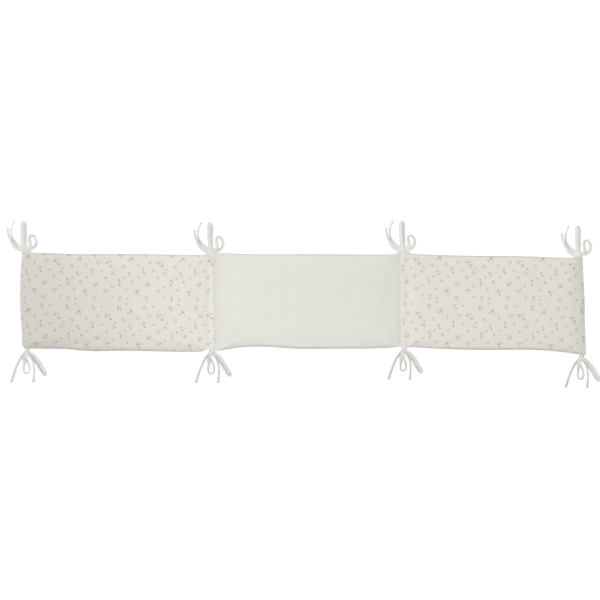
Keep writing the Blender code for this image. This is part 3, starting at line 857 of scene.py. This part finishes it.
def wrap_run():
    """The turn of tape round the knot: it starts on top and goes WRAP_TURNS about the X axis, and
    its radius grows evenly by WRAP_GAIN."""
    share = np.linspace(0, 1, WRAP_ROWS)
    angle = 2 * math.pi * WRAP_TURNS * share
    radius = WRAP_RADIUS + WRAP_GAIN * share
    height = SEAM_HEIGHT + radius * np.cos(angle)
    return [Run(0, *row, FLAT) for row in zip(radius * np.sin(angle), height)]


def resized(rows, along, across):
    """A run with its X multiplied by one size and its Y by another."""
    return [row._replace(x=row.x * along, y=row.y * across) for row in rows]


def edge_beside(x, column, outward):
    """Y of the long side beside a knot, where it stands out furthest within the knot's length."""
    panel = next(panel for panel in PANELS if x < panel.right[0].x)
    beside = x + KNOT_RADII[0] * np.linspace(-1, 1, 5)
    return outward * float(np.max(outward * through(panel.sides, column, beside)))


def stitched_tape():
    """The tape's cotton, with a dark dashed line of stitches along each edge: a stitch shows where
    the place across the tape is within STITCH_HALF of the line and the place along it, as a share
    of STITCH_LENGTH, is below STITCH_SHARE. The whole is multiplied by the tie's painted light, a
    factor that makes some ties lighter and others darker to even out how the lamps light them."""
    material = cotton("tape_cotton", TAPE_GROUND, threads=TAPE_THREADS)
    tree = material.node_tree
    shader = tree.nodes["Principled BSDF"]
    parts = node(tree, "SeparateXYZ", {0: node(tree, "UVMap", uv_map="cloth").outputs[0]}).outputs
    dash = maths(tree, "FRACT", maths(tree, "MULTIPLY", parts[0], 1 / (STITCH_LENGTH * MM)))
    shown = maths(tree, "LESS_THAN", dash, STITCH_SHARE)
    lines = []
    for inset in (STITCH_INSET, TAPE_WIDTH - STITCH_INSET):
        off = maths(tree, "ABSOLUTE", maths(tree, "SUBTRACT", parts[1], inset * MM))
        lines.append(maths(tree, "LESS_THAN", off, STITCH_HALF * MM))
    factor = maths(tree, "MULTIPLY", maths(tree, "MAXIMUM", *lines), shown)
    ground = shader.inputs["Base Color"].links[0].from_socket
    stitched = mixed(tree, factor, ground, THREAD_DARK)
    # Painted light: the tie's own factor lightens or darkens its whole colour.
    tone = node(tree, "Attribute", attribute_name="tone").outputs["Fac"]
    colour_with_painted_light = node(tree, "VectorMath", {0: stitched, "Scale": tone}, operation="SCALE").outputs[0]
    tree.links.new(colour_with_painted_light, shader.inputs["Base Color"])
    return material


tape_cotton = stitched_tape()
tape_round = np.concatenate([TAPE_SHARES + 1, TAPE_SHARES[::-1] + 1]) * TAPE_WIDTH / 2
knot_round = np.linspace(0, 2 * math.pi * KNOT_RADII[1], KNOT_POINTS)
for row in TIE_ROWS:
    for number, (x, size, left, right, tone) in enumerate(row.ties, 1):
        rings = [tape_rings(wrap_run(), (False, False), width=WRAP_WIDTH)]
        for name, run in row.bow.items():
            pinch = (True, name.endswith("loop"))
            rings.append(tape_rings(resized(run, size, size), pinch, hem=name.endswith("tail")))
        ends = [resized(row.ends[0], left, 1.0), resized(row.ends[1], right, 1.0)]
        ends += [SPARE_END] * (number in row.spare)
        rings += [tape_rings(end, (False, False), width=SEWN_WIDTH) for end in ends]
        tapes = [tube(ring, tape_round) for ring in rings]
        points, faces, cloth = joined(tapes + [tube(knot_rings(), knot_round)])
        points = points + (x, edge_beside(x, row.side, row.outward) + row.outward * KNOT_STANDOFF, 0)
        points[:, 2] = np.maximum(points[:, 2], 0)
        tie = skin(f"{row.side}_tie_{number}", points, faces, cloth, tape_cotton)
        # Painted light: every point of the tie carries the tie's factor, which lightens or darkens its
        # tape.
        painted_lights = np.full(len(points), tone, np.float32)
        tie.data.attributes.new("tone", "FLOAT", "POINT").data.foreach_set("value", painted_lights)
        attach(tie, "root")
        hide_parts(f"tie_{row.side}_{number}")


# ---- The stitches --------------------------------------------------------------------------------
# Rows of cotton stitches run beside the joins: one through the edge of the middle panel, and one
# along each side of the two strips. They are short threads that arch a little out of the cloth.
SEAM_PITCH = 3.1  # from one stitch to the next
SEAM_STITCH = 2.2  # length of a stitch
SEAM_THREAD = 0.3  # half its thickness
SEAM_TIP = 0.1  # least value of the sine that gives the thread's radius
SEAM_ARCH = 0.35
SEAM_RINGS = 7
SEAM_SIDES = 6
SEAM_END = 5.0  # how far from the long sides a row starts and ends
SEAM_COLOUR = (0.60, 0.575, 0.51, 1)
SeamRow = namedtuple("SeamRow", "name panel x")
SEAM_ROWS = [
    SeamRow("stitches_middle_edge", PANELS[1], LEFT_JOIN + 2.1),
    SeamRow("stitches_left_strip_outer", PANELS[0], LEFT_JOIN - 15.8),
    SeamRow("stitches_left_strip_inner", PANELS[0], LEFT_JOIN - 5.0),
    SeamRow("stitches_right_strip_inner", PANELS[2], RIGHT_JOIN + 3.8),
    SeamRow("stitches_right_strip_outer", PANELS[2], RIGHT_JOIN + 8.6),
]


def stitch_row(row):
    """One row of stitches along Y as one mesh: each stitch is a tube whose middle arches by a half
    sine, and whose radius is the thread's times the square root of that sine, at least SEAM_TIP."""
    at = np.array([row.x])
    bottom = float(through(row.panel.sides, "bottom", at)[0]) + SEAM_END
    top = float(through(row.panel.sides, "top", at)[0]) - SEAM_END
    share = np.linspace(0, 1, SEAM_RINGS)[:, None]
    angle = np.linspace(0, 2 * math.pi, SEAM_SIDES, endpoint=False)[None]
    radius = SEAM_THREAD * np.sqrt(np.maximum(np.sin(share * math.pi), SEAM_TIP))
    height = SEAM_HEIGHT + SEAM_HALF + SEAM_ARCH * np.sin(share * math.pi) - SEAM_THREAD / 2
    ring = np.stack(np.broadcast_arrays(
        row.x + radius * np.cos(angle), SEAM_STITCH * share, height + radius * np.sin(angle)), -1)
    around = np.linspace(0, 2 * math.pi * SEAM_THREAD, SEAM_SIDES)
    return joined([tube(ring + (0, y, 0), around) for y in np.arange(bottom, top, SEAM_PITCH)])


seam_thread = cotton("seam_thread", SEAM_COLOUR)
for row in SEAM_ROWS:
    stitches = skin(row.name, *stitch_row(row), seam_thread)
    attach(stitches, "root")
